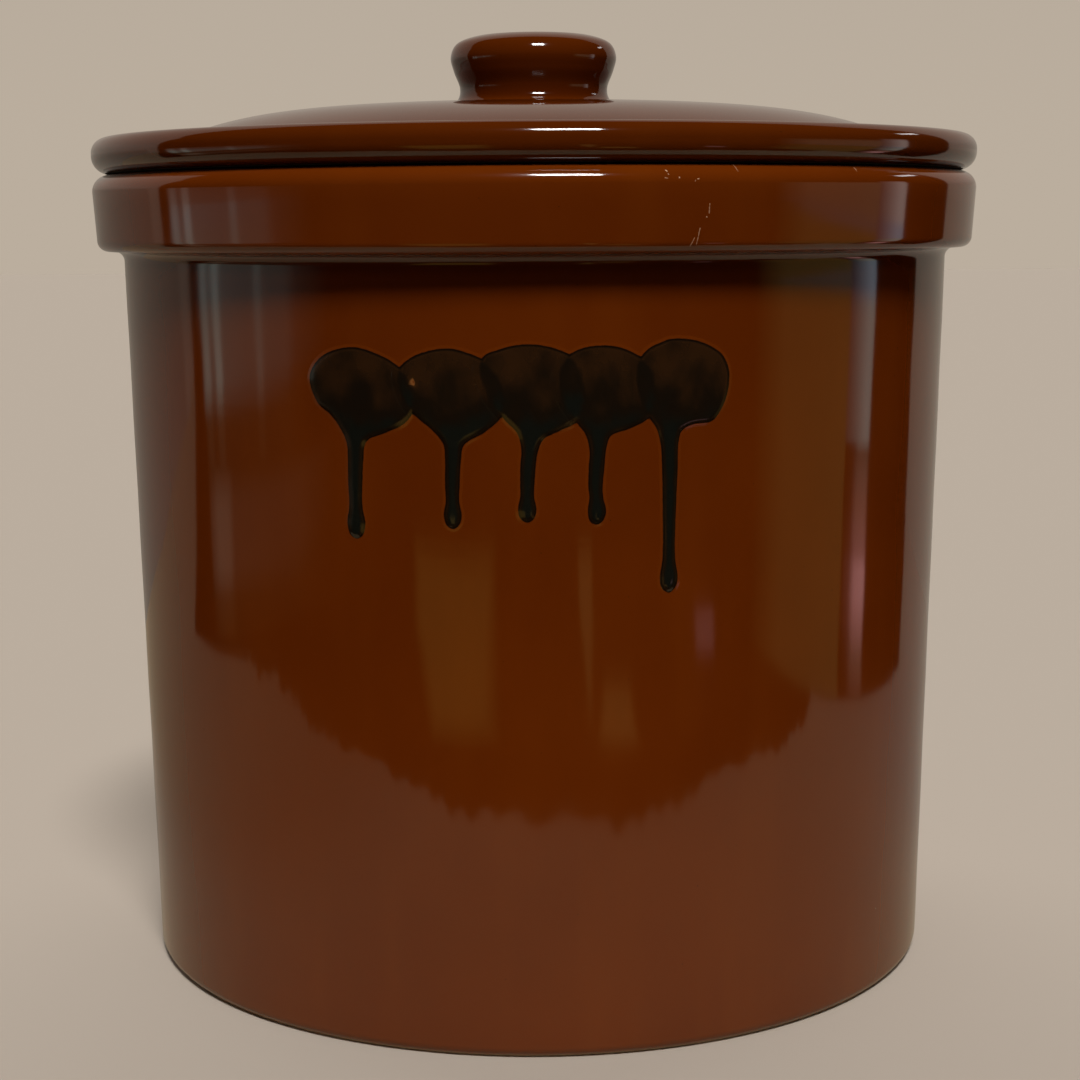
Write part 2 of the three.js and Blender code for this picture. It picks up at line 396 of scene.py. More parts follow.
def glaze_lift(points, run):
    """How far a run stands off the wall at each point, and how deep inside its edge that is."""
    depth = inside_distance(points, run_outline(run))
    across, height = points[:, 0], points[:, 1]
    run_share = 1 - smoothstep(*RUN_HEIGHTS, height)
    waves = np.sin(across / 2.1 + height / 3.7) + np.sin(across / 3.3 - height / 2.3)
    full = PATCH_LIFT[0] + (PATCH_LIFT[1] - PATCH_LIFT[0]) * smoothstep(*PATCH_HEIGHTS, height)
    patch = (full + UNEVEN_LIFT * waves) * rounded(depth / PATCH_EDGE)
    run_lift = RUN_LIFT * rounded(depth / RUN_EDGE)
    black = SKIRT_LIFT + patch + (run_lift - patch) * run_share
    skirt = SKIRT_LIFT * (2 * smoothstep(-GLAZE_SKIRT, 0, depth) - 1)
    return np.where(depth < 0, skirt, black), depth


def run_sides(run):
    """Heights from the top of a run's skirt to its foot, with its left and its right side at each."""
    outline = run_outline(run)
    step = np.roll(outline, -1, axis=0) - np.roll(outline, 1, axis=0)
    outward = np.column_stack((step[:, 1], -step[:, 0])) / np.linalg.norm(step, axis=1)[:, None]
    grown = outline + outward * GLAZE_SKIRT
    lowest = int(np.argmin(grown[:, 1]))
    heights = np.linspace(grown[:, 1].max() - 0.01, grown[lowest, 1] + 0.01, OUTLINE_SAMPLES)
    sides = []
    for side in (grown[: lowest + 1], np.vstack((grown[:1], grown[:lowest - 1:-1]))):
        fall = np.minimum.accumulate(side[:, 1] - np.arange(len(side)) * 1e-6)
        sides.append(np.interp(-heights, -fall, side[:, 0]))
    return heights, sides


def run_grid(run):
    """Points of (place round the wall, height) over a run and its skirt, in rows from its top down."""
    heights, sides = run_sides(run)
    length = np.maximum(*[np.hypot(np.gradient(side), np.gradient(heights)) for side in sides])
    travelled = np.cumsum(length)
    count = round(travelled[-1] / GLAZE_ROW_STEP)
    rows = np.interp(np.linspace(travelled[0], travelled[-1], count), travelled, heights)
    left, right = [np.interp(-rows, -heights, side) for side in sides]
    share = (1 - np.cos(np.pi * np.linspace(0, 1, GLAZE_COLUMNS + 1))) / 2
    across = left[:, None] + (right - left)[:, None] * share
    return np.stack((across, np.repeat(rows[:, None], len(share), 1)), 2)


def on_wall(places, lift):
    """Points in space for (place round the wall, height) and a distance off the wall."""
    angle, height = places[:, 0] / BODY_TOP_RADIUS, places[:, 1]
    radius = wall_radius(height) + wobble(angle, height) + lift
    return np.column_stack((radius * np.sin(angle), -radius * np.cos(angle), height))


def slab_faces(rows, columns):
    """Faces of a slab whose front points come first, row by row, and its back points after them."""
    def at(row, column, back=0):
        return back * rows * columns + row * columns + column

    faces = []
    for i in range(rows - 1):
        for j in range(columns - 1):
            faces.append((at(i, j), at(i + 1, j), at(i + 1, j + 1), at(i, j + 1)))
            faces.append((at(i, j, 1), at(i, j + 1, 1), at(i + 1, j + 1, 1), at(i + 1, j, 1)))
    end, last = columns - 1, rows - 1
    for i in range(last):
        faces.append((at(i, 0), at(i, 0, 1), at(i + 1, 0, 1), at(i + 1, 0)))
        faces.append((at(i, end), at(i + 1, end), at(i + 1, end, 1), at(i, end, 1)))
    for j in range(end):
        faces.append((at(0, j), at(0, j + 1), at(0, j + 1, 1), at(0, j, 1)))
        faces.append((at(last, j), at(last, j, 1), at(last, j + 1, 1), at(last, j + 1)))
    return faces


def poured(places, index):
    """Lift, layers of black and depth inside the black at points of a run among its neighbours."""
    lift, depth = glaze_lift(places, GLAZE_RUNS[index])
    layers = smoothstep(0, 1.5, depth)
    black = depth
    if index > 0:
        under, under_depth = glaze_lift(places, GLAZE_RUNS[index - 1])
        lapped = np.where(under_depth > 0, under + GLAZE_LAP * smoothstep(-0.1, 0.8, depth), lift)
        lift = np.maximum(lift, lapped)
        layers = layers + smoothstep(0, 2, under_depth)
        black = np.maximum(depth, under_depth)
    if index + 1 < len(GLAZE_RUNS):
        _, over_depth = glaze_lift(places, GLAZE_RUNS[index + 1])
        layers = layers + smoothstep(0, 2, over_depth)
        black = np.maximum(black, over_depth)
    return lift, layers, black


def glaze_run(index):
    """One poured run: a raised skin on the wall, lapping over the run to its left."""
    grid = run_grid(GLAZE_RUNS[index])
    places = grid.reshape(-1, 2)
    lift, layers, black = poured(places, index)
    hole = np.hypot(*((places - PINHOLE) / PINHOLE_SIZE).T)
    lift = lift - PINHOLE_DEPTH * np.exp(-hole ** 2)
    edge = np.minimum(black, (hole - 1) * PINHOLE_SIZE[0])
    front = on_wall(places, lift)
    back = on_wall(places, np.full(len(places), -GLAZE_BACK))
    values = {
        "black": np.clip(0.5 + edge / 2, 0, 1),
        "layers": layers / 2,
        "depth": black,
        "lift": lift,
    }
    values = {name: np.append(value, value) for name, value in values.items()}
    faces = slab_faces(*grid.shape[:2])
    return new_object(f"black_glaze_{index + 1}", np.vstack((front, back)) * MM, faces, values)


# ---------------------------------------------------------------- materials

class Surface:
    """A node material that is built one call at a time."""

    def __init__(self, name):
        self.material = bpy.data.materials.new(name)
        self.material.use_nodes = True
        self.tree = self.material.node_tree
        self.shader = self.tree.nodes["Principled BSDF"]
        self.place = self.add("ShaderNodeTexCoord").outputs["Object"]

    def add(self, kind, inputs=None, **settings):
        """A node, with its inputs linked to other nodes' outputs or set to plain values."""
        node = self.tree.nodes.new(kind)
        for name, value in settings.items():
            setattr(node, name, value)
        for key, value in (inputs or {}).items():
            self.put(node.inputs[key], value)
        return node

    def put(self, socket, value):
        if isinstance(value, bpy.types.NodeSocket):
            self.tree.links.new(value, socket)
        else:
            socket.default_value = value

    def attribute(self, name):
        return self.add("ShaderNodeAttribute", attribute_name=name).outputs["Fac"]

    def stretched(self, scale):
        """The object's own coordinates, stretched by a factor along each axis."""
        return self.add("ShaderNodeMapping", {"Vector": self.place, "Scale": scale}).outputs[0]

    def noise(self, scale, detail=2.0, place=None):
        """Cloudy noise, `scale` to the metre."""
        inputs = {"Vector": place or self.place, "Scale": scale, "Detail": detail}
        return self.add("ShaderNodeTexNoise", inputs).outputs["Fac"]

    def ramp(self, value, low, high, bottom=0.0, top=1.0):
        """`value` taken smoothly from bottom to top as it goes from low to high."""
        inputs = {"Value": value, "From Min": low, "From Max": high, "To Min": bottom, "To Max": top}
        return self.add("ShaderNodeMapRange", inputs, interpolation_type="SMOOTHSTEP").outputs[0]

    def math(self, operation, a, b=0.0, c=0.0):
        """One sum, named as Blender names it."""
        return self.add("ShaderNodeMath", {0: a, 1: b, 2: c}, operation=operation).outputs[0]

    def mix(self, share, a, b):
        """Colour a turning into colour b."""
        node = self.add("ShaderNodeMix", {0: share, 6: a, 7: b}, data_type="RGBA")
        return node.outputs[2]

    def spots(self, per_metre, radius, share, edge=0.3):
        """Round spots of a radius in metres, in a share of the cells of a Voronoi pattern."""
        inputs = {"Vector": self.place, "Scale": per_metre}
        cells = self.add("ShaderNodeTexVoronoi", inputs)
        size = radius * per_metre
        spot = self.ramp(cells.outputs["Distance"], size, size * (1 - edge))
        draw = self.add("ShaderNodeSeparateColor", {"Color": cells.outputs["Color"]}).outputs[0]
        chosen = self.math("LESS_THAN", draw, share)
        return self.math("MULTIPLY", spot, chosen)

    def bump(self, height):
        """Relief from a height in metres."""
        inputs = {"Height": height, "Strength": 1.0, "Distance": 1.0}
        return self.add("ShaderNodeBump", inputs).outputs[0]

    def finish(self, colour, roughness, height):
        """The finished glaze, with its relief given as a height in metres."""
        self.put(self.shader.inputs["Base Color"], colour)
        self.put(self.shader.inputs["Roughness"], roughness)
        self.put(self.shader.inputs["Normal"], self.bump(height))
        self.shader.inputs["IOR"].default_value = GLAZE_IOR
        return self.material


def rgb(red, green, blue):
    """An opaque colour."""
    return (red, green, blue, 1.0)


GLAZE_IOR = 1.52
BROWN = rgb(0.141, 0.0242, 0.0009)
BROWN_DEEP = rgb(0.126, 0.0208, 0.0007)
BROWN_LIGHT = rgb(0.166, 0.0322, 0.0018)
BROWN_POOLED = rgb(0.065, 0.0085, 0.0004)
IRON_SPECK = rgb(0.022, 0.0060, 0.0015)
PALE_SPECK = rgb(0.42, 0.30, 0.20)
SCUFF = rgb(0.80, 0.47, 0.28)
CLAY = rgb(0.33, 0.235, 0.155)
CLAY_DARK = rgb(0.22, 0.145, 0.09)
LID_PAINTED_SHADE = 0.66              # painted shade: the glaze of the lid and knob darkened by this factor
BLACK_THIN = rgb(0.0340, 0.0135, 0.0045)
BLACK_PATCH = rgb(0.0105, 0.0062, 0.0032)
BLACK_THICK = rgb(0.0075, 0.0080, 0.0058)
BLACK_EDGE = rgb(0.0045, 0.0032, 0.0018)
SKIRT_BROWN = rgb(0.144, 0.0258, 0.0012)
PINHOLE_BROWN = rgb(0.24, 0.085, 0.022)

# Heights of the relief on the surfaces, in metres.
THROWING_RINGS = 7e-6
RIPPLE = 1.6e-5
ORANGE_PEEL = 1.6e-6
PIT_DEPTH = -4e-5
ROUGH_CLAY = 1.2e-4
BLACK_SWELL = 3e-5
BLACK_GRAIN = 3e-6


def brown_glaze(name, shade_factor=1.0, marks=()):
    """Iron-brown glaze, running down a little, thin on edges and pooled in hollows, over buff clay.
    `marks` are the scuffs on it, as listed in COLLAR_SCUFFS. A factor below 1 darkens it all, as
    painted shade."""
    s = Surface(name)
    pits = s.spots(62.0, 0.00023, 0.16, 0.4)
    scuffs = scuff_mask(s, marks)
    grain = s.noise(900.0, 3.0)
    bare = bare_clay(s)
    glaze = s.mix(scuffs, brown_colour(s, shade_factor, pits), SCUFF)
    clay = s.mix(s.ramp(grain, 0.35, 0.7), CLAY_DARK, CLAY)
    colour = s.mix(bare, glaze, clay)
    gloss = s.math("MULTIPLY_ADD", scuffs, 0.4, brown_gloss(s))
    roughness = s.math("MULTIPLY_ADD", bare, 0.8, gloss)
    pitted = s.math("MULTIPLY_ADD", pits, PIT_DEPTH, brown_relief(s))
    rough_clay = s.math("MULTIPLY", s.math("MULTIPLY", grain, bare), ROUGH_CLAY)
    return s.finish(colour, roughness, s.math("ADD", pitted, rough_clay))


def brown_colour(s, shade_factor, pits):
    """The colour of the brown glaze: clouds, streaks, thin edges, pooled hollows, specks and pits,
    darkened by a factor as painted shade.
    """
    bend = s.attribute("bend")
    cloud = s.noise(17.0, 3.0)
    streak = s.noise(60.0, 2.0, s.stretched((1.0, 1.0, 0.16)))
    light = with_painted_shade(BROWN_LIGHT, shade_factor)
    colour = s.mix(s.ramp(cloud, 0.3, 0.7), with_painted_shade(BROWN_DEEP, shade_factor), with_painted_shade(BROWN, shade_factor))
    colour = s.mix(s.ramp(streak, 0.45, 0.75, 0.0, 0.3), colour, light)
    colour = s.mix(s.ramp(bend, 0.1, 0.9, 0.0, 0.25), colour, light)
    colour = s.mix(s.ramp(bend, -0.15, -0.8, 0.0, 0.6), colour, with_painted_shade(BROWN_POOLED, shade_factor))
    iron = s.spots(210.0, 0.00022, 0.30, 0.6)
    colour = s.mix(s.math("MULTIPLY", iron, 0.75), colour, IRON_SPECK)
    return s.mix(s.math("MULTIPLY", pits, 0.7), colour, PALE_SPECK)


def bare_clay(s):
    """Where there is no glaze, 0 to 1, with a ragged border."""
    ragged = s.math("ADD", s.attribute("bare"), s.math("MULTIPLY_ADD", s.noise(240.0), 0.5, -0.25))
    return s.ramp(ragged, 0.42, 0.58)


def brown_gloss(s):
    """Roughness of the brown glaze, with a thin film on it here and there."""
    film = s.ramp(s.noise(9.0, 4.0), 0.52, 0.7, 0.0, 0.05)
    return s.math("ADD", s.math("MULTIPLY_ADD", s.noise(45.0, 3.0), 0.045, 0.045), film)


def brown_relief(s):
    """Height of the brown glaze: throwing rings, a slow ripple and a fine one."""
    rings = s.math("MULTIPLY", s.noise(230.0, 1.0, s.stretched((0.12, 0.12, 1.0))), THROWING_RINGS)
    slow = s.noise(95.0, 1.0, s.stretched((1.0, 1.0, 0.45)))
    ripple = s.math("MULTIPLY_ADD", slow, RIPPLE, rings)
    return s.math("MULTIPLY_ADD", s.noise(520.0, 1.0), ORANGE_PEEL, ripple)


def with_painted_shade(colour, shade_factor):
    """A glaze colour made darker by a factor, as painted shade."""
    return rgb(*[part * shade_factor for part in colour[:3]])


def scuff_mask(s, marks):
    """How scuffed the glaze is, 0 to 1, from lines laid out round the collar and up it."""
    if not marks:
        return 0.0
    axes = s.add("ShaderNodeSeparateXYZ", {0: s.place}).outputs
    angle = s.math("ARCTAN2", axes[0], s.math("MULTIPLY", axes[1], -1.0))
    across = s.math("MULTIPLY", angle, RIM_RADIUS)
    height = s.math("DIVIDE", axes[2], MM)
    here = s.add("ShaderNodeCombineXYZ", {0: across, 1: height}).outputs[0]
    here = s.add("ShaderNodeVectorMath", {0: here, 1: waver(s)}, operation="ADD").outputs[0]
    total = 0.0
    for start, end, width, strength in marks:
        mark = s.math("MULTIPLY", line_mask(s, here, start, end, width), strength)
        total = s.math("MAXIMUM", mark, total)
    broken = s.ramp(s.noise(1500.0, 2.0), 0.36, 0.5, 0.4, 1.0)
    return s.math("MULTIPLY", total, broken)


def waver(s):
    """A small sideways drift, in millimetres, so that a scuff isn't a ruled line."""
    noise = s.add("ShaderNodeTexNoise", {"Vector": s.place, "Scale": 260.0, "Detail": 1.0})
    inputs = {0: noise.outputs["Color"], 1: (0.5, 0.5, 0.5)}
    centred = s.add("ShaderNodeVectorMath", inputs, operation="SUBTRACT").outputs[0]
    drift = s.add("ShaderNodeVectorMath", {0: centred, 1: (0.7, 0.5, 0.0)}, operation="MULTIPLY")
    return drift.outputs[0]


def line_mask(s, here, start, end, width):
    """1 on a line between two points, falling to 0 at its width."""
    along = Vector((end[0] - start[0], end[1] - start[1], 0.0))
    inputs = {0: here, 1: (*start, 0.0)}
    offset = s.add("ShaderNodeVectorMath", inputs, operation="SUBTRACT").outputs[0]
    inputs = {0: offset, 1: along / along.length_squared}
    share = s.add("ShaderNodeVectorMath", inputs, operation="DOT_PRODUCT").outputs["Value"]
    share = s.add("ShaderNodeClamp", {0: share}).outputs[0]
    reached = s.add("ShaderNodeVectorMath", {0: along, "Scale": share}, operation="SCALE").outputs[0]
    inputs = {0: offset, 1: reached}
    apart = s.add("ShaderNodeVectorMath", inputs, operation="DISTANCE").outputs["Value"]
    return s.ramp(apart, width, width * 0.3)


# Chips and scuffs from handling, as (start, end, width, strength) in millimetres round the collar
# and up it.
COLLAR_SCUFFS = [
    ((33.5, 236.7), (33.7, 236.5), 0.24, 0.9),
    ((33.9, 235.8), (34.0, 235.6), 0.17, 0.7),
    ((32.9, 234.8), (33.6, 234.6), 0.20, 0.4),
    ((36.9, 234.9), (37.0, 234.9), 0.26, 1.0),
    ((41.8, 234.6), (42.1, 234.6), 0.20, 0.8),
    ((41.1, 234.3), (41.0, 234.0), 0.16, 0.4),
    ((45.2, 228.4), (45.0, 226.1), 0.20, 0.45),
    ((44.3, 225.2), (44.4, 225.1), 0.18, 0.7),
    ((42.7, 222.2), (41.8, 218.3), 0.20, 0.45),
    ((41.1, 219.9), (40.1, 217.9), 0.20, 0.40),
    ((52.9, 238.3), (53.3, 236.4), 0.13, 0.5),
    ((92.8, 237.7), (92.5, 236.8), 0.16, 0.7),
]


def black_glaze():
    """Black glaze: cloudy olive-brown in the thin patches, near-black in the laps and the runs."""
    s = Surface("black_glaze")
    lift, layers = s.attribute("lift"), s.attribute("layers")
    cloud = s.math("MULTIPLY_ADD", s.noise(230.0, 4.0, s.stretched((1.0, 1.0, 0.6))), 0.16, -0.08)
    thickness = s.math("ADD", lift, cloud)
    black = s.mix(s.ramp(thickness, 0.14, 0.27), BLACK_THIN, BLACK_PATCH)
    black = s.mix(s.ramp(layers, 0.55, 1.0, 0.0, 0.5), black, BLACK_PATCH)
    black = s.mix(s.ramp(thickness, 0.27, 0.36), black, BLACK_THICK)
    black = s.mix(s.ramp(s.attribute("depth"), 0.9, 0.15), black, BLACK_EDGE)
    brown = s.mix(s.ramp(layers, 0.1, 0.3), SKIRT_BROWN, PINHOLE_BROWN)
    uneven = s.math("ADD", s.attribute("black"), s.math("MULTIPLY_ADD", s.noise(700.0), 0.1, -0.05))
    colour = s.mix(s.ramp(uneven, 0.42, 0.56), brown, black)
    roughness = s.math("MULTIPLY_ADD", s.noise(130.0, 3.0), 0.12, 0.05)
    swell = s.math("MULTIPLY", s.noise(190.0, 2.0), BLACK_SWELL)
    height = s.math("MULTIPLY_ADD", s.noise(800.0, 1.0), BLACK_GRAIN, swell)
    return s.finish(colour, roughness, height)


# ---------------------------------------------------------------- the camera

CAMERA_PLACE = (0.0, -0.6701, 0.2242)
CAMERA_DOWN = 0.1485         # radians below level
CAMERA_TURN = 0.0016         # radians to the right
CAMERA_ROLL = -0.0058
CAMERA_LENS = 71.0


def make_camera():
    """A view from the front, looking a little down."""
    camera = bpy.data.objects.new("camera", bpy.data.cameras.new("camera"))
    camera.data.lens = CAMERA_LENS
    camera.data.sensor_width = 36.0
    camera.matrix_world = (
        Matrix.Translation(CAMERA_PLACE)
        @ Matrix.Rotation(-CAMERA_TURN, 4, "Z")
        @ Matrix.Rotation(math.pi / 2 - CAMERA_DOWN, 4, "X")
        @ Matrix.Rotation(CAMERA_ROLL, 4, "Z")
    )
    bpy.context.scene.collection.objects.link(camera)
    bpy.context.scene.camera = camera


# ---------------------------------------------------------------- floor, background and light

FLOOR_COLOUR = rgb(0.46, 0.402, 0.345)
NEAR_FLOOR_COLOUR = rgb(0.45, 0.37, 0.24)
# painted shade on the lit floor: darker behind and on the left
FAR_FLOOR_PAINTED_SHADE = rgb(0.29, 0.25, 0.205)
SHADED_FLOOR_COLOUR = rgb(0.27, 0.21, 0.13)
HORIZON_COLOUR = rgb(0.497, 0.423, 0.342)
HIGH_COLOUR = rgb(0.43, 0.375, 0.315)
FLOOR_SIZE = 9.0
LIT_FLOOR_DEPTH = 0.001      # below the floor that the camera sees
LIT_FLOOR_CENTRE = -0.05     # across, from the crock's axis
LIT_FLOOR_RADII = (0.50, 0.32)
BACKGROUND_RADIUS = 14.0
BACKGROUND_HEIGHT = 6.0      # where the shell reaches its upper colour
WALL_PLACE = 0.5             # y of the reflected wall, then x of the window and of the strip
WINDOW_PLACE = -0.56
STRIP_PLACE = 0.45
WALL_FOOT = -0.002           # just under the lit floor, so that no gap shows between them


class Stage(Surface):
    """A node material for a stage object: an emission or a plain diffuse one."""

    def __init__(self, name, shader):
        super().__init__(name)
        self.tree.nodes.remove(self.shader)
        self.shader = self.add(shader)
        output = self.tree.nodes["Material Output"]
        self.put(output.inputs["Surface"], self.shader.outputs[0])


def glow(name):
    """An emission whose colour is on each point of the mesh."""
    s = Stage(name, "ShaderNodeEmission")
    colour = s.add("ShaderNodeAttribute", attribute_name="glow").outputs["Color"]
    s.put(s.shader.inputs["Color"], colour)
    return s.material


def stage_mesh(name, points, faces, material, rays, colours=()):
    """A stage object that is there only for these kinds of ray: camera, diffuse, glossy."""
    made = new_object(name, points, faces, {})
    if len(colours):
        layer = made.data.attributes.new("glow", "FLOAT_COLOR", "POINT")
        layer.data.foreach_set("color", np.array([(*colour, 1.0) for colour in colours]).ravel())
    made.data.materials.append(material)
    for ray in ("camera", "diffuse", "glossy", "transmission", "volume_scatter", "shadow"):
        setattr(made, f"visible_{ray}", ray in rays)


def make_floor():
    """The floor that the camera sees, and just under it the lit piece that the glaze mirrors."""
    s = Stage("floor", "ShaderNodeBsdfDiffuse")
    s.put(s.shader.inputs["Color"], FLOOR_COLOUR)
    corners = [(x * FLOOR_SIZE, y * FLOOR_SIZE, 0) for x, y in ((-1, -1), (1, -1), (1, 1), (-1, 1))]
    stage_mesh("floor", corners, [(0, 1, 2, 3)], s.material, ["camera"])
    edge = lit_floor_edge()
    faces = [tuple(range(len(edge)))]
    stage_mesh("lit_floor", edge, faces, lit_floor_material(), ["diffuse", "glossy"])


def lit_floor_material():
    """A paler floor in front, with painted shade behind it and on the left."""
    s = Stage("lit_floor", "ShaderNodeBsdfDiffuse")
    axes = s.add("ShaderNodeSeparateXYZ", {0: s.place}).outputs
    colour = s.mix(s.ramp(axes["Y"], -0.20, 0.15), NEAR_FLOOR_COLOUR, FAR_FLOOR_PAINTED_SHADE)
    shade = s.ramp(axes["X"], -0.12, -0.30, 0.0, 0.75)
    s.put(s.shader.inputs["Color"], s.mix(shade, colour, SHADED_FLOOR_COLOUR))
    return s.material


def lit_floor_edge():
    """The edge of the lit floor: half a ragged ellipse in front, and open towards the wall behind."""
    wide, deep = LIT_FLOOR_RADII
    front = []
    for angle in np.radians(np.linspace(-163, -28, 260)):
        teeth = 0.012 * math.sin(83 * angle + 3 * math.sin(11 * angle))
        ragged = 1 + teeth + 0.012 * math.sin(31 * angle) + 0.02 * math.sin(12 * angle)
        x = LIT_FLOOR_CENTRE + wide * ragged * math.cos(angle)
        front.append((x, deep * ragged * math.sin(angle)))
    right = [(0.45, -0.14), (0.45, 0.20), (0.83, WALL_PLACE)]
    left = [(-2.0, WALL_PLACE), (-0.80, 0.19), (-0.56, 0.13)]
    return [(x, y, -LIT_FLOOR_DEPTH) for x, y in front + right + left]


def make_background():
    """A pale shell far off, seen only by the camera, the colour of the floor at the horizon."""
    s = Stage("background", "ShaderNodeEmission")
    height = s.add("ShaderNodeSeparateXYZ", {0: s.place}).outputs["Z"]
    share = s.ramp(height, 0.0, BACKGROUND_HEIGHT)
    s.put(s.shader.inputs["Color"], s.mix(share, HORIZON_COLOUR, HIGH_COLOUR))
    bpy.ops.mesh.primitive_uv_sphere_add(radius=BACKGROUND_RADIUS, segments=48, ring_count=24)
    shell = bpy.context.object
    shell.name = "background"
    shell.data.materials.append(s.material)
    for ray in ("diffuse", "glossy", "transmission", "volume_scatter", "shadow"):
        setattr(shell, f"visible_{ray}", False)


# ---- what the glaze mirrors: a pale wall behind, with a hole where the back of the crock would see
# it square on, a curtained window on the left and a narrow lit strip on the right

# Brightness of each upright sheet at places along it, and its colour at heights.
WALL_LEFT = [(-2.0, 1.25), (-1.60, 1.25), (-1.50, 0.88), (-0.14, 0.88)]
WALL_RIGHT = [(0.14, 1.15), (0.83, 1.15)]
WALL_WHOLE = [(-2.0, 1.0), (0.83, 1.0)]
WALL_LOW = [(WALL_FOOT, (0.28, 0.24, 0.190)), (0.20, (0.28, 0.24, 0.190)),
            (0.26, (0.33, 0.285, 0.232))]
WALL_HIGH = [(0.26, (0.33, 0.285, 0.232)), (0.34, (0.41, 0.36, 0.305)), (1.20, (0.41, 0.36, 0.305))]
WINDOW_COLUMNS = [(0.020, 0.3), (0.006, 1.1), (-0.006, 1.1), (-0.018, 0.45), (-0.029, 0.5),
                  (-0.036, 1.4), (-0.052, 1.4), (-0.061, 0.5), (-0.178, 0.42), (-0.185, 0.9),
                  (-0.200, 0.9), (-0.207, 0.42), (-0.290, 0.40), (-0.320, 0.15), (-0.450, 0.0)]
WINDOW_ROWS = [(0.090, (0.08, 0.07, 0.04)), (0.118, (0.10, 0.09, 0.05)), (0.134, (0.58, 0.70, 0.60)),
               (0.165, (0.58, 0.70, 0.60)), (0.190, (0.60, 0.70, 0.68)), (0.200, (0.50, 0.46, 0.40)),
               (0.235, (0.35, 0.31, 0.27)), (0.250, (0.0, 0.0, 0.0))]
WINDOW_FOOT_COLUMNS = [(0.020, 0.3), (0.004, 0.6), (-0.012, 1.0), (-0.055, 1.0), (-0.075, 0.35),
                       (-0.300, 0.30), (-0.450, 0.0)]
WINDOW_FOOT_ROWS = [(0.0, (0.10, 0.06, 0.02)), (0.022, (0.15, 0.10, 0.05)), (0.042, (0.42, 0.32, 0.22)),
                    (0.068, (0.42, 0.32, 0.22)), (0.090, (0.10, 0.08, 0.04))]
STRIP_COLUMNS = [(0.013, 1.0), (0.002, 1.3), (-0.010, 1.2), (-0.024, 0.9), (-0.042, 0.55),
                 (-0.065, 0.2)]
STRIP_ROWS = [(0.118, (0.66, 0.74, 0.66)), (0.178, (0.66, 0.74, 0.66)), (0.186, (0.55, 0.70, 0.85)),
              (0.193, (0.55, 0.70, 0.85)), (0.197, (0.95, 0.82, 0.76)), (0.270, (0.95, 0.82, 0.76)),
              (0.300, (0.4, 0.34, 0.32))]
STRIP_FOOT_COLUMNS = [(0.013, 0.7), (0.004, 1.0), (-0.024, 0.9), (-0.040, 0.15), (-0.065, 0.0)]
STRIP_FOOT_ROWS = [(0.0, (0.2, 0.12, 0.08)), (0.015, (0.5, 0.30, 0.22)), (0.030, (1.5, 0.70, 0.65)),
                   (0.045, (2.1, 1.00, 0.98)), (0.060, (2.1, 1.00, 0.98)), (0.068, (1.1, 0.52, 0.48)),
                   (0.085, (0.8, 0.40, 0.30)), (0.100, (0.5, 0.34, 0.26)), (0.112, (0.25, 0.22, 0.16)),
                   (0.118, (0.66, 0.74, 0.66))]
SIDE_COLUMNS = [(-0.065, 1.0), (-0.240, 1.0), (-0.330, 0.0)]
SIDE_ROWS = [(0.0, (0.29, 0.21, 0.06)), (0.183, (0.29, 0.21, 0.06)), (0.190, (0.20, 0.24, 0.22)),
             (0.197, (0.34, 0.26, 0.16)), (0.260, (0.34, 0.26, 0.16)), (0.280, (0.0, 0.0, 0.0))]

# Paler glowing patches further off on the floor in front, seen only in reflections, as an outline of
# (x, y) and a colour.
FLOOR_PATCHES = [
    ([(-0.06, -0.418), (-0.176, -0.381), (-0.325, -0.546), (-0.458, -0.756), (-0.142, -0.84)],
     (0.40, 0.25, 0.05)),
    ([(0.094, -0.418), (0.114, -0.614), (0.145, -0.818), (0.198, -0.807), (0.150, -0.606)],
     (0.45, 0.28, 0.08)),
    ([(0.100, -0.418), (0.138, -0.497), (0.196, -0.476), (0.177, -0.386)], (0.55, 0.32, 0.08)),
    ([(0.343, -0.426), (0.427, -0.526), (0.474, -0.482), (0.379, -0.390)], (0.70, 0.36, 0.38)),
]
PATCH_CORE = 0.75            # share of a patch, from its middle out, that is fully bright


def upright(name, place, columns, rows):
    """A glowing sheet, seen only in reflections. `place` turns a place along it into (x, y)."""
    count = len(columns)
    points = [(*place(along), z) for z, _ in rows for along, _ in columns]
    colours = [[part * share for part in colour] for _, colour in rows for _, share in columns]
    faces = [
        (row + i, row + i + 1, row + count + i + 1, row + count + i)
        for row in range(0, count * (len(rows) - 1), count) for i in range(count - 1)
    ]
    stage_mesh(name, points, faces, glow(name), ["glossy"], colours)


def soft_patch(outline, colour):
    """A glowing patch on the floor that fades out towards its outline."""
    outer = np.array([(x, y, -LIT_FLOOR_DEPTH) for x, y in outline])
    middle = outer.mean(0)
    inner = middle + PATCH_CORE * (outer - middle)
    count = len(outline)
    faces = [tuple(range(count, 2 * count))]
    for i in range(count):
        j = (i + 1) % count
        faces.append((i, j, count + j, count + i))
    points = [tuple(point) for point in np.vstack((outer, inner))]
    colours = [(0.0, 0.0, 0.0)] * count + [colour] * count
    stage_mesh("floor_patch", points, faces, glow("floor_patch"), ["glossy"], colours)


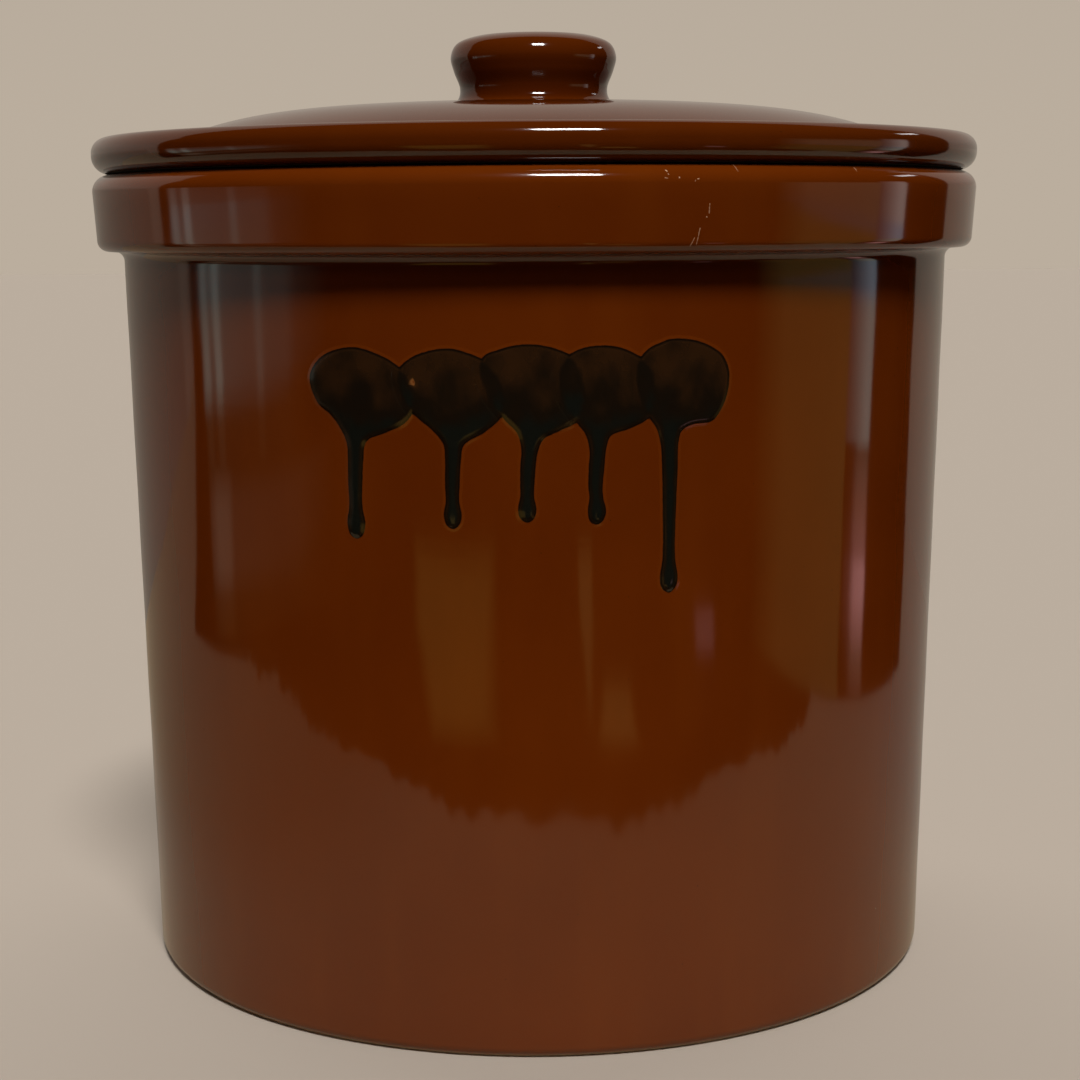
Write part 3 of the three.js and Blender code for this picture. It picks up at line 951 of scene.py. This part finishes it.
def make_reflections():
    """The sheets and patches of the reflected room."""
    def wall(along):
        return along, WALL_PLACE

    def window(along):
        return WINDOW_PLACE, along

    def strip(along):
        return STRIP_PLACE, along

    upright("wall_left", wall, WALL_LEFT, WALL_LOW)
    upright("wall_right", wall, WALL_RIGHT, WALL_LOW)
    upright("wall_high", wall, WALL_WHOLE, WALL_HIGH)
    upright("window", window, WINDOW_COLUMNS, WINDOW_ROWS)
    upright("window_foot", window, WINDOW_FOOT_COLUMNS, WINDOW_FOOT_ROWS)
    upright("strip", strip, STRIP_COLUMNS, STRIP_ROWS)
    upright("strip_foot", strip, STRIP_FOOT_COLUMNS, STRIP_FOOT_ROWS)
    upright("side", strip, SIDE_COLUMNS, SIDE_ROWS)
    for outline, colour in FLOOR_PATCHES:
        soft_patch(outline, colour)


def add_light(name, data, place, towards, mirrored):
    """A light that is either mirrored by the glaze or falls on it, and not both."""
    light = bpy.data.objects.new(name, data)
    light.location = place
    light.rotation_mode = "QUATERNION"
    light.rotation_quaternion = Vector(towards).to_track_quat("-Z", "Y")
    light.visible_camera = False
    light.visible_glossy = mirrored
    light.visible_diffuse = not mirrored
    bpy.context.scene.collection.objects.link(light)


def sun(name, azimuth, elevation, strength, spread, colour):
    """A soft distant light from an azimuth, in degrees from the front towards +X."""
    data = bpy.data.lights.new(name, "SUN")
    data.energy = strength
    data.angle = math.radians(spread)
    data.color = colour[:3]
    turn, rise = math.radians(azimuth), math.radians(elevation)
    ahead = (-math.sin(turn) * math.cos(rise), math.cos(turn) * math.cos(rise), -math.sin(rise))
    add_light(name, data, (0, 0, 1), ahead, False)


def lamp(name, place, width, height, power):
    """A lamp seen only as its mirror image in the glaze."""
    data = bpy.data.lights.new(name, "AREA")
    data.shape = "RECTANGLE"
    data.size = width
    data.size_y = height
    data.energy = power
    add_light(name, data, place, Vector((0.0, 0.0, 0.15)) - Vector(place), True)


def make_light():
    """A dim warm world, a soft key light, two back lights, and the two lamps that the glaze mirrors."""
    world = bpy.data.worlds.new("ambient")
    bpy.context.scene.world = world
    world.use_nodes = True
    sky = world.node_tree.nodes["Background"]
    sky.inputs["Color"].default_value = rgb(1.0, 0.94, 0.88)
    sky.inputs["Strength"].default_value = 0.055
    world.cycles_visibility.glossy = False
    world.cycles_visibility.camera = False
    warm = rgb(1.0, 0.97, 0.93)
    sun("key", 8, 57, 2.86, 15, warm)
    for azimuth in (-150, 150):
        sun("back", azimuth, 25, 0.95, 60, warm)
    lamp("lamp_overhead", (0.25, -1.45, 1.90), 0.52, 0.34, 30.0)
    lamp("lamp_beside", (1.63, 0.76, 1.10), 0.32, 0.11, 0.5)


# ---------------------------------------------------------------- the crock

def dress(piece, material, body, node):
    """Gives a piece its material and the body it rides on, and hides the CAD node it stands for."""
    piece.data.materials.append(material)
    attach(piece, body)
    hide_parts(node)


def bare_where(outline, test):
    """1 at each point of an outline that passes a test of its radius and height, and 0 elsewhere."""
    return np.array([float(test(radius, height)) for radius, height in outline])


def unglazed_foot(radius, height):
    """Whether a point is on the ring that the crock was fired on, or in the recess inside it."""
    return height < 0.9 or (height < FOOT_RECESS + 0.1 and radius < FOOT_RING_INNER)


def make_crock(glaze):
    outline = crock_outline()
    bare = bare_where(outline, unglazed_foot)
    crock = lathe("crock_glazed_body", outline, TURNS, bare)
    dress(crock, glaze, "crock", "crock_body")


def make_lid(glaze):
    outline = lid_outline()
    bare = bare_where(outline, lambda radius, height: height < LID_BOTTOM + 0.1)
    lid = lathe("lid_glazed", outline, TURNS, bare)
    dress(lid, glaze, "lid", "lid")


def make_knob(glaze):
    outline = knob_outline()
    knob = lathe("knob_glazed", outline, KNOB_TURNS, np.zeros(len(outline)))
    dress(knob, glaze, "lid", "lid_knob")


def main():
    bpy.context.scene.view_settings.view_transform = "Standard"
    make_camera()
    make_crock(brown_glaze("brown_glaze_crock", marks=COLLAR_SCUFFS))
    # The lid and knob get a darker copy of the brown glaze: painted shade.
    shaded_lid_glaze = brown_glaze("brown_glaze_lid_painted_shade", LID_PAINTED_SHADE)
    make_lid(shaded_lid_glaze)
    make_knob(shaded_lid_glaze)
    black = black_glaze()
    for index in range(len(GLAZE_RUNS)):
        dress(glaze_run(index), black, "crock", f"glaze_run_{index + 1}")
    make_floor()
    make_background()
    make_reflections()
    make_light()


main()
